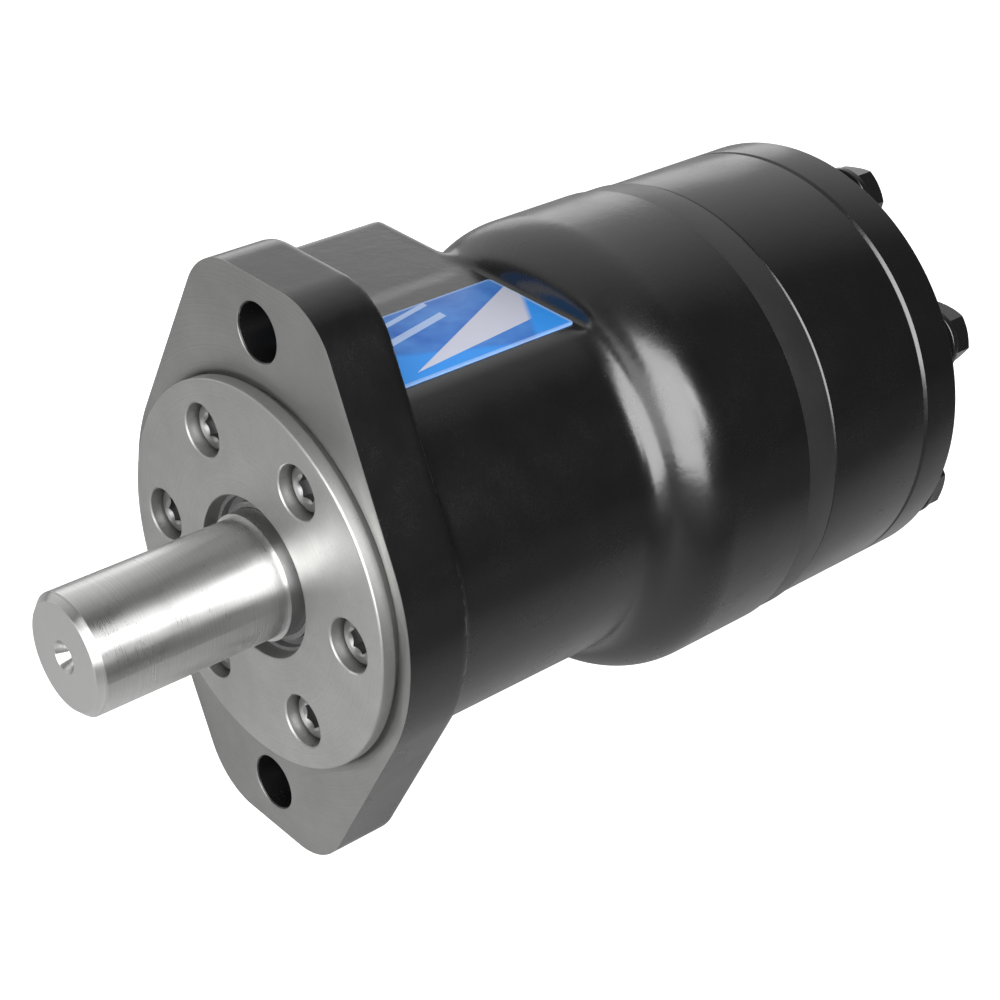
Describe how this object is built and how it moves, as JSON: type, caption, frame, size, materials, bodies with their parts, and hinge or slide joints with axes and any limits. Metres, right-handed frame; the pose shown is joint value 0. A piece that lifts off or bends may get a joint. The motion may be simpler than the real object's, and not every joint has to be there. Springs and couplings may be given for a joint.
{
  "type": "hydraulic motor",
  "caption": "Orbital hydraulic motor with a round pilot, a two-hole flange, a straight output shaft, side ports and a bolted gear set.",
  "frame": {"origin": "centre of the mounting face (the flange's front face), on the shaft axis", "axes": "+Y along the shaft axis to the rear cover, so the output shaft points to -Y; +Z along the flange's long axis, through its two holes; +X away from the ports"},
  "size_m": [0.1106, 0.2084, 0.1292],
  "materials": {
    "black_paint": "gloss black paint on cast iron",
    "machined_iron": "turned face, satin",
    "screw_steel": "dull phosphated",
    "black_rubber": "matt",
    "bearing_steel": "ground",
    "cage_brass": "satin",
    "shaft_steel": "ground, fine turning lines",
    "hardened_steel": "ground",
    "black_oxide": "black oxide under paint",
    "zinc_steel": "zinc plated",
    "copper": "soft copper",
    "label_film": "printed film, blue and white"
  },
  "bodies": {
    "casing": {"housing": "black_paint", "front_cover": "machined_iron", "cover_screws": "screw_steel", "dust_seal": "black_rubber", "shaft_seal": "black_rubber", "cover_o_ring": "black_rubber", "front_race": "bearing_steel", "distributor_plate": "black_paint", "gear_ring": "black_paint", "end_cover": "black_paint", "end_bolts": "black_oxide", "bolt_washers": "black_oxide", "housing_o_ring": "black_rubber", "plate_o_ring": "black_rubber", "end_o_ring": "black_rubber", "drain_plug": "zinc_steel", "drain_washer": "copper", "nameplate": "label_film"},
    "shaft": {"output_shaft": "shaft_steel", "rear_race": "bearing_steel"},
    "bearing": {"bearing_cage": "cage_brass", "bearing_needles": "bearing_steel"},
    "orbit": {"rotor_spacer": "hardened_steel"},
    "rotor": {"gear_rotor": "hardened_steel"},
    "link": {"drive_link": "hardened_steel"}
  },
  "joints": [
    {"name": "shaft_spin", "type": "hinge", "parent": "casing", "child": "shaft", "pos_m": [0, 0, 0], "axis": [0, 1, 0], "continuous": true},
    {"name": "bearing_spin", "type": "hinge", "parent": "casing", "child": "bearing", "pos_m": [0, 0.0155, 0], "axis": [0, 1, 0], "continuous": true},
    {"name": "rotor_orbit", "type": "hinge", "parent": "casing", "child": "orbit", "pos_m": [0, 0.128, 0], "axis": [0, 1, 0], "continuous": true},
    {"name": "rotor_spin", "type": "hinge", "parent": "orbit", "child": "rotor", "pos_m": [-0.00297, 0.128, 0.00042], "axis": [0, 1, 0], "continuous": true},
    {"name": "link_spin", "type": "hinge", "parent": "orbit", "child": "link", "pos_m": [0, 0.048, 0], "axis": [-0.0371, 0.9993, 0.0052], "continuous": true}
  ],
  "couplings": [
    {"joint": "bearing_spin", "follows": "shaft_spin", "ratio": 0.5},
    {"joint": "rotor_orbit", "follows": "shaft_spin", "ratio": -6},
    {"joint": "rotor_spin", "follows": "shaft_spin", "ratio": 7},
    {"joint": "link_spin", "follows": "shaft_spin", "ratio": 7}
  ]
}
